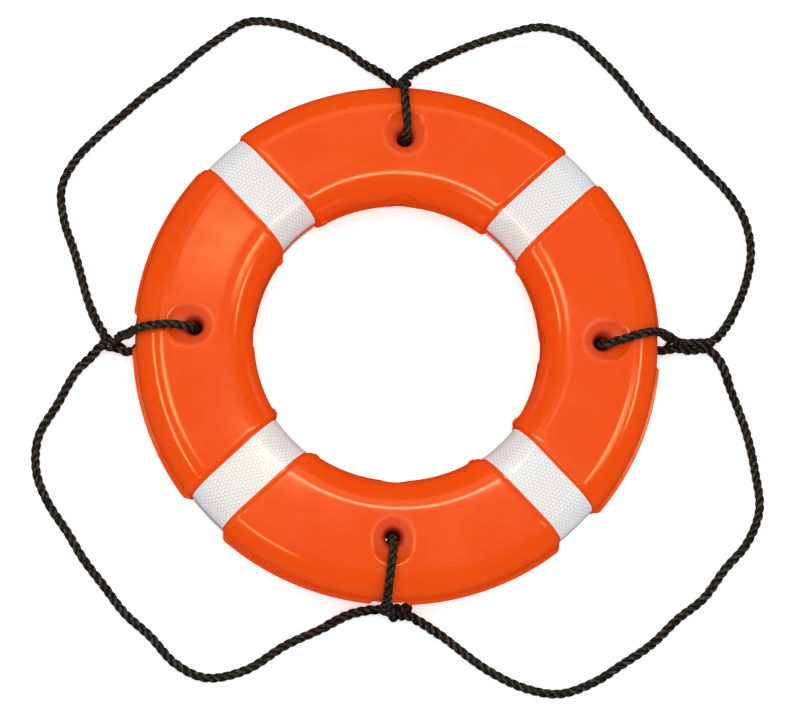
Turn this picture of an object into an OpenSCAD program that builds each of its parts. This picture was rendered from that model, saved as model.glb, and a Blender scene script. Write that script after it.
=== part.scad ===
// Ring lifebuoy: a foam-filled hard shell in two welded halves, four bands of reflective
// tape, and a grab line rove through four holes so that it hangs outside in four loops.
// Origin at the centre of the back face, +Z out of the front face, +X through a rope hole.

/* [Ring] */
// Outside diameter over the seam flange
ring_od = 609.6; // [608:0.1:611]
// Diameter of the central opening
ring_id = 330; // [324:1:336]
// Thickness from back face to front face
ring_h = 100; // [98:1:102]
// Rounding between a face and the outer wall
outer_corner = 35; // [33:1:36]
// Rounding between a face and the inner wall
inner_corner = 40; // [36:1:42]
// Wall thickness of the moulded shell
shell_t = 3; // [2.5:0.1:3.5]

/* [Seam flange] */
// How far the welded seam stands out of the outer wall
flange_w = 4.8; // [4:0.1:5.4]
// Height of the welded seam
flange_h = 10; // [6:1:14]
// Width of the gap that the seam leaves for the rope
notch_w = 44; // [40:1:48]

/* [Reflective tape] */
// Width of the tape
tape_w = 50; // [46:1:51]
// Width of the recess that the tape lies in
band_w = 54; // [53:1:56]
// Depth of the recess
band_depth = 4; // [3:0.5:5]
// Thickness of the tape
tape_t = 0.6; // [0.4:0.1:1]
// Gap between the tape's two ends on the inner wall
tape_gap = 16; // [12:1:24]

/* [Rope holes] */
// Distance of the holes from the ring's centre
hole_pos = 232; // [231:0.5:233]
// Diameter of the holes
hole_d = 16; // [15:0.5:18]
// Radius of the round dish at each mouth
dish_r = 26.5; // [25:0.5:28]
// Height of the dish's centre above the face
dish_lift = 15.5; // [14:0.5:17]
// Diameter of the flare and the groove that the rope lies in
groove_d = 14; // [13:0.5:15]

/* [Grab line] */
// Diameter of the rope
rope_d = 9.5; // [9:0.1:10]
// Diameter of a tuck, where one part of the rope goes through the other
tuck_d = 18; // [16:1:20]

/* [Plugs] */
// Diameter of the plug in the foam filling hole
fill_d = 22; // [18:1:26]
// Diameter of the plug in the vent hole
vent_d = 12; // [8:1:14]

/* [Hidden] */
$fn = 96;

wall_in = ring_id / 2;
wall_out = ring_od / 2 - flange_w;
mid = ring_h / 2;
rope_r = rope_d / 2;
groove_r = groove_d / 2;

// Radius of the bend that the rope makes at each mouth of a hole
bend_r = 20;
// Height of the rope's middle in the groove across the back face
groove_z = 5.5;
// Half the length that the dishes are stretched along the radius, and their middle
dish_stretch = 3.5;
dish_pos = hole_pos + 6.5;
// Angles of the four tape bands and the four rope holes
band_angles = [45, 135, 225, 315];
hole_angles = [0, 90, 180, 270];
// Where the plugs sit on the back face
plug_pos = 235;
fill_angle = 20;
vent_angle = 200;
plug_inset = 0.3;

shell_colour = "orangered";
tape_colour = "white";
foam_colour = "wheat";
rope_colour = "dimgray";

// The rope over the ring, the same at each hole: radius, share of the sway at the rim, share
// of the lean at the mouth of the hole, height
over_ring = [
  [309, 1.0, 0, 64], [302, 0.9, 0.1, 84], [288, 0.7, 0.1, 101], [272, 0.45, 0.25, 106.5],
  [258, 0.2, 0.55, 105], [246, 0.1, 1, 99.5], [238.5, 0, 0.8, 94], [234, 0, 0.4, 86],
  [232.5, 0, 0.1, 74], [232, 0, 0, 50], [232.5, 0, 0, 26], [238.5, 0, 0, 11.5],
  [252, 0, 0, 5.5], [268, 0, 0, 5.5], [284, 0, 0, 5.5]
];

// The rope outside the rim, from a loop's end to the front and from the back to the next
// loop's end: distance along the hole's radius, distance to the left of it, height
right_front = [
  [400, 60, 5], [390, 42, 7], [379, 28, 12], [365, 20, 18], [350, 19, 19], [338, 18, 21],
  [327, 18, 30], [317, 19, 45]
];
right_back = [
  [300, 8, 6], [316, 11, 8], [332, 13, 10], [348, 11, 10], [364, 14, 8], [378, 6, 8],
  [388, -10, 7], [395, -30, 5]
];
top_front = [[355, -35, 5], [346, -20, 8], [335, -8, 14], [324, 0, 24], [315, 3, 42]];
top_back = [[300, 0, 6], [312, 4, 8], [324, 12, 9], [336, 26, 8], [350, 50, 5]];
left_front = [[370, 40, 5], [356, 25, 7], [342, 12, 14], [329, 5, 24], [318, 4, 42]];
left_back = [[298, 7, 6], [309, 15, 7], [323, 11, 8], [335, 2, 9], [346, -12, 8], [360, -40, 5]];
bottom_front = [
  [335, 65, 5], [327, 52, 6], [319, 38, 8], [314, 25, 12], [312, 12, 19], [311, 2, 29],
  [309, -3, 46]
];
bottom_back = [[300, 1, 6], [309, 4, 7], [317, 9, 8]];
// The rope's other end, which goes under the front strand and ends in the joining knot
bottom_tail = [
  [330, -75, 5], [321, -60, 6], [313, -44, 7], [308, -26, 8], [306, -8, 10], [307, 6, 12],
  [307, 16, 15], [303, 24, 20]
];

// The four loops as they lie beside the ring, anticlockwise, from hinge point to hinge point
loop_z = 5;
upper_right = [
  [400, 60], [415, 100], [420, 140], [410, 180], [390, 210], [360, 240], [335, 265],
  [305, 290], [280, 320], [260, 345], [235, 370], [205, 395], [165, 405], [125, 395],
  [85, 380], [35, 355]
];
upper_left = [
  [-50, 350], [-70, 365], [-105, 380], [-150, 395], [-190, 395], [-220, 375], [-250, 350],
  [-275, 325], [-305, 300], [-330, 275], [-360, 245], [-385, 215], [-400, 180], [-395, 140],
  [-380, 100], [-360, 40]
];
lower_left = [
  [-370, -40], [-390, -80], [-410, -120], [-410, -160], [-395, -195], [-370, -230],
  [-350, -260], [-325, -290], [-300, -320], [-270, -345], [-240, -375], [-205, -390],
  [-160, -380], [-115, -350], [-75, -330]
];
lower_right = [
  [65, -335], [115, -370], [160, -390], [200, -395], [240, -380], [270, -360], [305, -335],
  [335, -305], [365, -280], [390, -245], [415, -215], [430, -175], [425, -130], [415, -85],
  [395, -30]
];
loop_rings = 20;
// Where the rings of a rounded rope end stand on its ball, from the tip back
cap_angles = [75, 45];
// Room that a loop's end keeps round the rounded end of the rope it hinges on
hinge_clearance = 3;

// ---- lines and tubes ----

function unit(v) = v / norm(v);

// Point at place t, from 0 to 1, on a smooth curve through the points of a route
function curve_point(route, t) =
  let (
    last = len(route) - 1,
    i = min(floor(t * last), last - 1),
    f = t * last - i,
    a = route[max(i - 1, 0)],
    b = route[i],
    c = route[i + 1],
    d = route[min(i + 2, last)]
  )
  0.5 * (2 * b + (c - a) * f + (2 * a - 5 * b + 4 * c - d) * f * f
    + (3 * b - a - 3 * c + d) * f * f * f);

function smooth_route(route, rings) = [for (i = [0:rings - 1]) curve_point(route, i / (rings - 1))];

function direction_at(route, i) =
  unit(route[min(i + 1, len(route) - 1)] - route[max(i - 1, 0)]);

// A frame carried along the route, so that the tube doesn't twist
function carried(previous, along) = unit(previous - (previous * along) * along);

function frames(route, i = 0, side = [0, 0, 1]) =
  i == len(route) ? [] :
  let (now = carried(side, direction_at(route, i)))
  concat([now], frames(route, i + 1, now));

// One closed tube along a route, with a radius for each of its rings
module tube(route, radii, sides = 8) {
  side = frames(route);
  rings = len(route);
  points = [
    for (i = [0:rings - 1]) let (across = cross(direction_at(route, i), side[i]))
    for (k = [0:sides - 1]) let (a = 360 * (k + 0.5) / sides)
    route[i] + radii[i] * (cos(a) * side[i] + sin(a) * across)
  ];
  walls = [
    for (i = [0:rings - 2], k = [0:sides - 1]) let (next = (k + 1) % sides)
    each [
      [i * sides + k, i * sides + next, (i + 1) * sides + k],
      [i * sides + next, (i + 1) * sides + next, (i + 1) * sides + k]
    ]
  ];
  first = [[for (k = [sides - 1:-1:0]) k]];
  last = [[for (k = [0:sides - 1]) (rings - 1) * sides + k]];
  polyhedron(points, concat(walls, first, last), convexity = 10);
}

// ---- the ring ----

// Section through the ring, drawn in by inset all round
module section(inset) {
  in_mid = wall_in + inner_corner;
  out_mid = wall_out - outer_corner;
  translate([in_mid, inset]) square([out_mid - in_mid, ring_h - 2 * inset]);
  translate([wall_in + inset, inner_corner])
    square([inner_corner - inset, ring_h - 2 * inner_corner]);
  translate([out_mid, outer_corner])
    square([outer_corner - inset, ring_h - 2 * outer_corner]);
  for (z = [inner_corner, ring_h - inner_corner])
    translate([in_mid, z]) circle(inner_corner - inset);
  for (z = [outer_corner, ring_h - outer_corner])
    translate([out_mid, z]) circle(outer_corner - inset);
}

module ring(inset) {
  rotate_extrude() section(inset);
}

// A bar across the ring at a band's angle
module band_bar(angle, width) {
  rotate(angle) translate([wall_in - 20, -width / 2, -1])
    cube([wall_out - wall_in + 40, width, ring_h + 2]);
}

// The material taken away for the tape bands, down to depth
module band_cuts(width, depth) {
  difference() {
    for (a = band_angles) band_bar(a, width);
    ring(depth);
  }
}

// Dish, flare, hole and back groove of one rope hole, grown by grow for the wall around it
module rope_way(grow) {
  for (x = [dish_pos - dish_stretch, dish_pos + dish_stretch])
    for (z = [-dish_lift, ring_h + dish_lift])
      translate([x, 0, z]) sphere(dish_r + grow);
  translate([hole_pos, 0, -1]) cylinder(h = ring_h + 2, r = hole_d / 2 + grow);
  translate([hole_pos + bend_r, 0, ring_h - bend_r]) rotate([90, 0, 0])
    rotate([0, 0, 90]) rotate_extrude(angle = 90) translate([bend_r, 0]) circle(groove_r + grow);
  translate([hole_pos + bend_r, 0, groove_z + bend_r]) rotate([90, 0, 0])
    rotate([0, 0, 180]) rotate_extrude(angle = 90) translate([bend_r, 0]) circle(groove_r + grow);
  translate([hole_pos + bend_r, 0, groove_z]) rotate([0, 90, 0])
    cylinder(h = wall_out - hole_pos, r = groove_r + grow);
  translate([hole_pos + bend_r, -groove_r - grow, -10])
    cube([wall_out - hole_pos, groove_d + 2 * grow, 10 + groove_z]);
}

// The gap in the seam flange beside a rope hole, with sides at 45 degrees
module rim_notch() {
  deep = flange_w - 1;
  translate([ring_od / 2 - deep, 0, mid - flange_h])
    linear_extrude(2 * flange_h)
      polygon([
        [0, notch_w / 2 - deep], [deep + 2, notch_w / 2 + 2],
        [deep + 2, -notch_w / 2 - 2], [0, deep - notch_w / 2]
      ]);
}

module seam_flange() {
  rotate_extrude() translate([wall_out - shell_t, mid - flange_h / 2])
    square([flange_w + shell_t, flange_h]);
}

// The space inside the shell, which the foam fills
module core_space() {
  difference() {
    ring(shell_t);
    band_cuts(band_w + 2 * shell_t, band_depth + shell_t);
    for (a = hole_angles) rotate(a) rope_way(shell_t);
  }
}

module whole_shell() {
  difference() {
    union() {
      ring(0);
      seam_flange();
    }
    band_cuts(band_w, band_depth);
    for (a = hole_angles) rotate(a) {
      rope_way(0);
      rim_notch();
    }
    core_space();
  }
}

module slab(low, high) {
  translate([-ring_od, -ring_od, low]) cube([2 * ring_od, 2 * ring_od, high - low]);
}

module plug_hole(angle, d) {
  rotate(angle) translate([plug_pos, 0, -1]) cylinder(h = shell_t + 1, d = d);
}

module plug(angle, d) {
  rotate(angle) translate([plug_pos, 0, plug_inset]) cylinder(h = shell_t - plug_inset, d = d);
}

module front_shell() {
  color(shell_colour) intersection() {
    whole_shell();
    slab(mid, ring_h + 1);
  }
}

module back_shell() {
  color(shell_colour) difference() {
    intersection() {
      whole_shell();
      slab(-1, mid);
    }
    plug_hole(fill_angle, fill_d);
    plug_hole(vent_angle, vent_d);
  }
}

module foam_core() {
  color(foam_colour) core_space();
}

module fill_plug() {
  color(shell_colour) plug(fill_angle, fill_d);
}

module vent_plug() {
  color(shell_colour) plug(vent_angle, vent_d);
}

// One strip, from the inner wall over the front, round the rim and back along the back face
module reflective_tape(angle) {
  color(tape_colour) difference() {
    intersection() {
      ring(band_depth - tape_t);
      band_bar(angle, tape_w);
    }
    ring(band_depth);
    rotate(angle) translate([0, -tape_w, mid - tape_gap / 2])
      cube([wall_in + inner_corner / 2, 2 * tape_w, tape_gap]);
  }
}

// ---- the grab line ----

function wrap_route(front, back, sway, lean) =
  concat(front, [for (p = over_ring) [p[0], p[1] * sway + p[2] * lean, p[3]]], back);

// A piece of the rope with rounded ends
module rope_piece(angle, route) {
  last = len(route) - 1;
  start = [for (a = cap_angles) route[0] + rope_r * sin(a) * unit(route[0] - route[1])];
  end = [
    for (a = cap_angles) route[last] + rope_r * sin(a) * unit(route[last] - route[last - 1])
  ];
  radii = concat(
    [for (a = cap_angles) rope_r * cos(a)],
    [for (p = route) rope_r],
    [for (i = [len(cap_angles) - 1:-1:0]) rope_r * cos(cap_angles[i])]
  );
  color(rope_colour) rotate(angle)
    tube(concat(start, route, [for (i = [len(end) - 1:-1:0]) end[i]]), radii);
}

// The rope from a loop's end, over the front, through the hole and back out to the next loop
module rope_wrap(angle, front, back, sway, lean) {
  rope_piece(angle, wrap_route(front, back, sway, lean));
}

// The lump where one part of the rope goes through the other
module tuck(angle, place, d) {
  color(rope_colour) rotate(angle) translate(place) sphere(d = d, $fn = 48);
}

module long_tuck(angle, from, to, d) {
  along = to - from;
  lean = acos(along[2] / norm(along));
  turn = atan2(along[1], along[0]);
  color(rope_colour) rotate(angle) translate(from) rotate([0, lean, turn]) {
    sphere(d = d, $fn = 48);
    cylinder(h = norm(along), d = d, $fn = 48);
    translate([0, 0, norm(along)]) sphere(d = d, $fn = 48);
  }
}

// A loop lying beside the ring, with its two ends held off the hinge points
module grab_loop(points) {
  keep = rope_r + hinge_clearance;
  ends = [for (p = points) [p[0], p[1], loop_z]];
  last = len(ends) - 1;
  trimmed = [
    for (i = [0:last])
    i == 0 ? ends[0] + keep * unit(ends[1] - ends[0]) :
    i == last ? ends[last] + keep * unit(ends[last - 1] - ends[last]) : ends[i]
  ];
  color(rope_colour)
    tube(smooth_route(trimmed, loop_rings), [for (i = [1:loop_rings]) rope_r]);
}

front_shell();
back_shell();
foam_core();
fill_plug();
vent_plug();
reflective_tape(band_angles[0]);  // reflective_tape_1
reflective_tape(band_angles[1]);  // reflective_tape_2
reflective_tape(band_angles[2]);  // reflective_tape_3
reflective_tape(band_angles[3]);  // reflective_tape_4
rope_wrap(0, right_front, right_back, 17, -2.5);  // rope_wrap_right
rope_wrap(90, top_front, top_back, 3.5, -2.5);  // rope_wrap_top
rope_wrap(180, left_front, left_back, 6, 1);  // rope_wrap_left
rope_wrap(270, bottom_front, bottom_back, -5, 1);  // rope_wrap_bottom
rope_piece(270, bottom_tail);  // rope_tail
long_tuck(0, [341, 15, 15], [356, 16, 14], 17);  // rope_tuck_right
tuck(90, [321, 5, 16], tuck_d);  // rope_tuck_top
tuck(180, [331, 8, 16], tuck_d);  // rope_tuck_left
long_tuck(270, [310, 6, 17], [313, 19, 14], tuck_d);  // joining_knot
grab_loop(upper_right);  // grab_loop_upper_right
grab_loop(upper_left);  // grab_loop_upper_left
grab_loop(lower_left);  // grab_loop_lower_left
grab_loop(lower_right);  // grab_loop_lower_right
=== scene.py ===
"""Looks of the ring lifebuoy: its moulded shell, reflective tape, plugs and laid grab line.

Shapes are worked out in millimetres in the CAD's own frame and turned into metres when a
mesh is made. A ring point is given by its radius, its angle and its height above the seam.
"""

import math

import bpy
import numpy as np
from mathutils import Matrix, Vector


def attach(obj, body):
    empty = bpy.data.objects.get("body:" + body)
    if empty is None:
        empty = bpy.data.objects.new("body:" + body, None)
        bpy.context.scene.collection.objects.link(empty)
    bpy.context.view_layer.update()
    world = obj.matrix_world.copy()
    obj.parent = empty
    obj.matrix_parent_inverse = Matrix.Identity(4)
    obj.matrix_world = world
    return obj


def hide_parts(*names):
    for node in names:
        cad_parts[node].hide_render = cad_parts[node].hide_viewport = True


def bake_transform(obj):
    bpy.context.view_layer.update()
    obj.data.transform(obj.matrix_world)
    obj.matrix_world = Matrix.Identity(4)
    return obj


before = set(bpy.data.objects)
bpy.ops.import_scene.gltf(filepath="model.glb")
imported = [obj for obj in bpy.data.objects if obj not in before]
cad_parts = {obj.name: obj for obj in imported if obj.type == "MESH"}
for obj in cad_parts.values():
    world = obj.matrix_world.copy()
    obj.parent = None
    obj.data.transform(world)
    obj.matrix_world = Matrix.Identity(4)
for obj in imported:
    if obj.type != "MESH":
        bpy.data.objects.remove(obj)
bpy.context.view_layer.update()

MM = 0.001
rng = np.random.default_rng(7)

# ---- design values, the same as the CAD part's, in mm ----

MID = 50.0            # height of the seam plane above the back face
WALL_IN = 165.0       # radius of the central opening
WALL_OUT = 300.0      # radius of the outer wall
RIM = 304.8           # radius over the seam flange
IN_CORNER = 40.0
OUT_CORNER = 35.0
IN_MID = WALL_IN + IN_CORNER
OUT_MID = WALL_OUT - OUT_CORNER
IN_WALL_H = MID - IN_CORNER
OUT_WALL_H = MID - OUT_CORNER
BAND_DEPTH = 4.0
TAPE_T = 0.6
TAPE_HALF = 25.0
TAPE_GAP_HALF = 8.0
HOLE_POS = 232.0
HOLE_R = 8.0
DISH_R = 26.5
DISH_LIFT = 15.5
DISH_IN, DISH_OUT = 235.0, 242.0
PLUG_POS = 235.0
SHELL_T = 2.6
BAND_ANGLES = (45, 135, 225, 315)
# Where the plugs are in the back shell, in degrees, and their diameters
FILL_ANGLE, FILL_D = 20, 22.0
VENT_ANGLE, VENT_D = 200, 12.0

# ---- camera ----

# How far the view leans back from straight above, the side it leans to, and the roll (radians)
LEAN, LEAN_SIDE, ROLL = 0.2164, -0.1930, 0.0298
VIEW_DISTANCE = 2.9387
LENS_MM, SENSOR_MM = 114.56, 36.0
SHIFT_X, SHIFT_Y = 0.0028, -0.0244


def add_camera():
    back = Vector((math.sin(LEAN_SIDE) * math.sin(LEAN),
                   -math.cos(LEAN_SIDE) * math.sin(LEAN), math.cos(LEAN)))
    up = Vector((0, 1, 0))
    up = (up - up.dot(back) * back).normalized()
    right = up.cross(back)
    c, s = math.cos(ROLL), math.sin(ROLL)
    right, up = c * right + s * up, c * up - s * right
    camera = bpy.data.objects.new("camera", bpy.data.cameras.new("camera"))
    bpy.context.scene.collection.objects.link(camera)
    place = Matrix((right, up, back)).transposed().to_4x4()
    place.translation = back * VIEW_DISTANCE + Vector((0, 0, MID * MM))
    camera.matrix_world = place
    camera.data.lens = LENS_MM
    camera.data.sensor_width = SENSOR_MM
    camera.data.shift_x, camera.data.shift_y = SHIFT_X, SHIFT_Y
    camera.data.clip_end = 30
    bpy.context.scene.camera = camera


# ---- meshes ----

def link(name, mesh):
    piece = bpy.data.objects.new(name, mesh)
    bpy.context.scene.collection.objects.link(piece)
    return piece


def new_mesh(name, points_mm, faces, sharp_deg=40, uvs=None):
    """A smooth-shaded mesh from points in mm. uvs has one pair for each corner of each face."""
    mesh = bpy.data.meshes.new(name)
    mesh.from_pydata((np.asarray(points_mm) * MM).tolist(), [], faces)
    mesh.polygons.foreach_set("use_smooth", np.ones(len(mesh.polygons), bool))
    if uvs is not None:
        layer = mesh.uv_layers.new(name="lay")
        layer.data.foreach_set("uv", np.asarray(uvs, np.float32).ravel())
    mesh.update()
    mesh.validate()
    if sharp_deg:
        mesh.set_sharp_from_angle(angle=math.radians(sharp_deg))
    return link(name, mesh)


def tube_faces(rings, sides):
    """Faces between rings of points that follow each other, closed at both ends."""
    faces = [(i * sides + k, i * sides + (k + 1) % sides,
              (i + 1) * sides + (k + 1) % sides, (i + 1) * sides + k)
             for i in range(rings - 1) for k in range(sides)]
    faces.append(tuple(range(sides - 1, -1, -1)))
    faces.append(tuple((rings - 1) * sides + k for k in range(sides)))
    return faces


def solidify(piece, thickness_mm):
    """Gives a sheet its thickness, inward from the face that was drawn."""
    wall = piece.modifiers.new("wall", "SOLIDIFY")
    wall.thickness = thickness_mm * MM
    wall.offset = -1


def finish_piece(piece, slot, material, *nodes):
    """A piece that rides on the ring, and the CAD nodes that it stands in for."""
    piece.data.materials.clear()
    piece.data.materials.append(material)
    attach(piece, "ring")
    if nodes:
        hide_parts(*nodes)


# ---- materials ----

class Nodes:
    """A short way to write a node tree."""

    def __init__(self, name):
        self.material = bpy.data.materials.new(name)
        self.material.use_nodes = True
        self.tree = self.material.node_tree
        self.shader = self.tree.nodes["Principled BSDF"]
        self.place = self.add("ShaderNodeTexCoord").outputs["Object"]

    def add(self, kind, **values):
        node = self.tree.nodes.new(kind)
        for key, value in values.items():
            setattr(node, key, value)
        return node

    def wire(self, source, target):
        self.tree.links.new(source, target)

    def put(self, socket, value):
        if isinstance(value, bpy.types.NodeSocket):
            self.wire(value, socket)
        else:
            socket.default_value = value

    def math(self, operation, *values):
        node = self.add("ShaderNodeMath", operation=operation)
        for socket, value in zip(node.inputs, values):
            self.put(socket, value)
        return node.outputs[0]

    def smooth(self, value, low, high, to_low=0.0, to_high=1.0):
        """A smooth change from to_low to to_high while the value goes from low to high."""
        node = self.add("ShaderNodeMapRange", interpolation_type="SMOOTHSTEP")
        for socket, setting in zip(node.inputs, (value, low, high, to_low, to_high)):
            self.put(socket, setting)
        return node.outputs[0]

    def noise(self, scale, detail, rough=0.55):
        node = self.add("ShaderNodeTexNoise")
        node.inputs["Scale"].default_value = scale
        node.inputs["Detail"].default_value = detail
        node.inputs["Roughness"].default_value = rough
        self.wire(self.place, node.inputs["Vector"])
        return node.outputs["Fac"]

    def ramp(self, value, *stops):
        """A colour from a value, by (position, colour) stops."""
        node = self.add("ShaderNodeValToRGB")
        ramp = node.color_ramp
        while len(ramp.elements) < len(stops):
            ramp.elements.new(0.5)
        for element, (at, colour) in zip(ramp.elements, stops):
            element.position = at
            element.color = (*colour, 1)
        self.wire(value, node.inputs["Fac"])
        return node.outputs["Color"]

    def mix(self, share, a, b):
        """Colour a where the share is 0, and colour b where it is 1."""
        node = self.add("ShaderNodeMix", data_type="RGBA")
        for key, value in (("Factor_Float", share), ("A_Color", a), ("B_Color", b)):
            socket = next(s for s in node.inputs if s.identifier == key)
            if isinstance(value, tuple) and len(value) == 3:
                value = (*value, 1)
            self.put(socket, value)
        return next(s for s in node.outputs if s.identifier == "Result_Color")

    def split(self, vector):
        node = self.add("ShaderNodeSeparateXYZ")
        self.wire(vector, node.inputs["Vector"])
        return node.outputs["X"], node.outputs["Y"]

    def lay(self):
        """The two coordinates of the piece's own UV map."""
        return self.split(self.add("ShaderNodeUVMap", uv_map="lay").outputs["UV"])

    def bump(self, *layers):
        """Bump from (height, strength, distance in metres) layers, one on top of the other."""
        below = None
        for height, strength, distance in layers:
            node = self.add("ShaderNodeBump")
            node.inputs["Strength"].default_value = strength
            node.inputs["Distance"].default_value = distance
            self.wire(height, node.inputs["Height"])
            if below is not None:
                self.wire(below, node.inputs["Normal"])
            below = node.outputs["Normal"]
        self.wire(below, self.shader.inputs["Normal"])

    def set(self, **values):
        for key, value in values.items():
            self.put(self.shader.inputs[key.replace("_", " ")], value)


ORANGE, DEEP_ORANGE = (0.91, 0.084, 0.002), (0.91, 0.071, 0.002)
PLUG_ORANGE, DEEP_PLUG_ORANGE = (0.80, 0.065, 0.006), (0.74, 0.055, 0.005)
HOLE_SHADE = (0.60, 0.040, 0.022)   # painted shade: a darker, purplish red put round each rope hole for the shade in its dish
HOLE_ZONE_POS = HOLE_POS + 2       # radius of the middle of each zone of painted shade and dullness, mm
# Distances in m from that middle, where the colour and the dullness start and end to fade
HOLE_SHADE_FADE, DULL_FADE = (0.010, 0.019), (0.020, 0.029)


def shell_plastic(name, colour, deeper, roughness):
    """Moulded polyethylene: faint clouds of colour, with painted shade, darker and redder, round
    the rope holes, where it is also duller.
    """
    n = Nodes(name)
    clouds = n.ramp(n.noise(9, 4), (0.3, deeper), (0.7, colour))
    x, y = (n.math("ABSOLUTE", axis) for axis in n.split(n.place))
    out = n.math("SUBTRACT", n.math("MAXIMUM", x, y), HOLE_ZONE_POS * MM)
    from_hole = n.math("SQRT", n.math("ADD", n.math("POWER", out, 2.0),
                                      n.math("POWER", n.math("MINIMUM", x, y), 2.0)))
    # Painted shade round each rope hole, fading out across the dish
    hole_shade = n.smooth(from_hole, *HOLE_SHADE_FADE, 0.75, 0.0)
    haze = n.math("MULTIPLY", n.smooth(n.noise(22, 4), 0.35, 0.75), 0.05)
    dull = n.smooth(from_hole, *DULL_FADE, 0.30, 0.0)
    n.set(Base_Color=n.mix(hole_shade, clouds, HOLE_SHADE),
          Roughness=n.math("ADD", roughness, n.math("ADD", haze, dull)))
    n.bump((n.noise(30, 2), 0.06, 0.0006), (n.noise(700, 3), 0.03, 0.0001))
    return n.material


def foam_material():
    """Cream polyurethane foam with open cells, with painted shade in the pit of each cell."""
    n = Nodes("cell_foam")
    cells = n.add("ShaderNodeTexVoronoi")
    cells.inputs["Scale"].default_value = 420
    n.wire(n.place, cells.inputs["Vector"])
    # Painted shade: darker towards each cell's middle, where the bump sinks a pit
    cream_with_pore_shade = n.ramp(cells.outputs["Distance"], (0.0, (0.5, 0.4, 0.2)), (0.6, (0.86, 0.76, 0.5)))
    n.set(Base_Color=cream_with_pore_shade, Roughness=0.9)
    n.bump((cells.outputs["Distance"], 0.6, 0.0008))
    return n.material


TAPE_WHITE, TAPE_WALL = (0.90, 0.90, 0.90), (0.40, 0.41, 0.44)
TAPE_CELL = 4.6       # distance between the honeycomb's cells, mm
TAPE_BORDER = 1.6     # plain white edge of the tape, mm


def tape_material():
    """White prismatic tape: a honeycomb of thin grey walls inside a plain white border."""
    n = Nodes("honeycomb_tape")
    across, along = n.lay()

    def hex_distance(shift):
        """Distance from the nearest cell centre of one of the two grids, 0.5 at a wall."""
        step_y = math.sqrt(3)
        x = n.math("ADD", n.math("DIVIDE", across, TAPE_CELL), 0.5 * shift)
        y = n.math("ADD", n.math("DIVIDE", along, TAPE_CELL * step_y), 0.5 * shift)
        # A whole number of cells is added, so that nothing is below zero
        x = n.math("SUBTRACT", n.math("FRACT", n.math("ADD", x, 100.0)), 0.5)
        y = n.math("SUBTRACT", n.math("FRACT", n.math("ADD", y, 100.0)), 0.5)
        x = n.math("ABSOLUTE", x)
        y = n.math("MULTIPLY", n.math("ABSOLUTE", y), step_y)
        slanted = n.math("ADD", n.math("MULTIPLY", x, 0.5), n.math("MULTIPLY", y, step_y / 2))
        return n.math("MAXIMUM", x, slanted)

    distance = n.math("MINIMUM", hex_distance(0), hex_distance(1))
    wall = n.smooth(distance, 0.43, 0.475)
    edge = n.math("SUBTRACT", TAPE_HALF, n.math("ABSOLUTE", across))
    inside = n.smooth(edge, TAPE_BORDER - 0.15, TAPE_BORDER + 0.15)
    wall = n.math("MULTIPLY", wall, inside)
    tint = n.ramp(n.noise(14, 3), (0.2, (0.80, 0.82, 0.86)), (0.4, (0.85, 0.86, 0.87)),
                  (0.6, (0.88, 0.86, 0.85)), (0.8, (0.83, 0.86, 0.84)))
    cell = n.mix(inside, TAPE_WHITE, tint)
    n.set(Base_Color=n.mix(wall, cell, TAPE_WALL), Roughness=n.smooth(wall, 0, 1, 0.26, 0.45),
          Specular_IOR_Level=0.6, Coat_Weight=0.35, Coat_Roughness=0.12)
    n.bump((wall, 0.25, 0.0002), (n.noise(60, 3), 0.12, 0.0006))
    return n.material


YARNS = 7             # yarns round a strand
FIBRES = 5            # fibres side by side on a yarn
YARN_TURNS = 0.03     # turns of the yarns round the strand for each mm
# Painted shade: the grooves between the yarns are made darker than the yarns
GROOVE_SHADE, YARN_BLACK = (0.002, 0.002, 0.002), (0.012, 0.010, 0.009)
# Painted highlight: the grey put in spots on the strands' crowns
CROWN_HIGHLIGHT_GREY = (0.17, 0.15, 0.125)


def rope_material():
    """Black polypropylene: twisted yarns in each strand, with grey painted highlights in spots
    on the crowns.
    """
    n = Nodes("black_rope")
    along, around = n.lay()
    turn = n.math("SUBTRACT", around, n.math("MULTIPLY", along, YARN_TURNS))
    wave = n.math("SINE", n.math("MULTIPLY", turn, 2 * math.pi * YARNS))
    yarn = n.smooth(wave, -1.0, 0.6)
    fibres = n.math("SINE", n.math("MULTIPLY", turn, 2 * math.pi * YARNS * FIBRES))
    # Spots and crowns where the painted highlight goes
    highlight_spots = n.smooth(n.noise(260, 4, 0.7), 0.42, 0.66)
    crown = n.smooth(n.math("COSINE", n.math("MULTIPLY", around, 2 * math.pi)), 0.1, 1.0)
    crown_highlight = n.math("MULTIPLY", n.math("MULTIPLY", highlight_spots, crown), yarn)
    # Painted shade in the grooves between the yarns
    base = n.mix(yarn, GROOVE_SHADE, YARN_BLACK)
    n.set(Base_Color=n.mix(crown_highlight, base, CROWN_HIGHLIGHT_GREY), Roughness=0.42, Specular_IOR_Level=0.3)
    n.bump((yarn, 0.7, 0.0005), (fibres, 0.25, 0.0001), (n.noise(1500, 2), 0.2, 0.0002))
    return n.material


def cut_end_material():
    """The heat-sealed cut end of the rope."""
    n = Nodes("sealed_rope_end")
    black = n.ramp(n.noise(900, 3), (0.3, (0.006, 0.006, 0.006)), (0.7, (0.02, 0.018, 0.016)))
    n.set(Base_Color=black, Roughness=0.3)
    n.bump((n.noise(1400, 3), 0.5, 0.0004))
    return n.material


FLOOR_GLOW = 0.46     # keeps the floor pale beside the ring


def floor_material():
    """Near-white studio paper."""
    n = Nodes("studio_floor")
    pale = n.ramp(n.noise(2, 2), (0.3, (0.90, 0.90, 0.90)), (0.7, (0.93, 0.93, 0.93)))
    n.set(Base_Color=pale, Roughness=0.9, Specular_IOR_Level=0.1,
          Emission_Color=(1, 1, 1, 1), Emission_Strength=FLOOR_GLOW)
    return n.material


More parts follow.
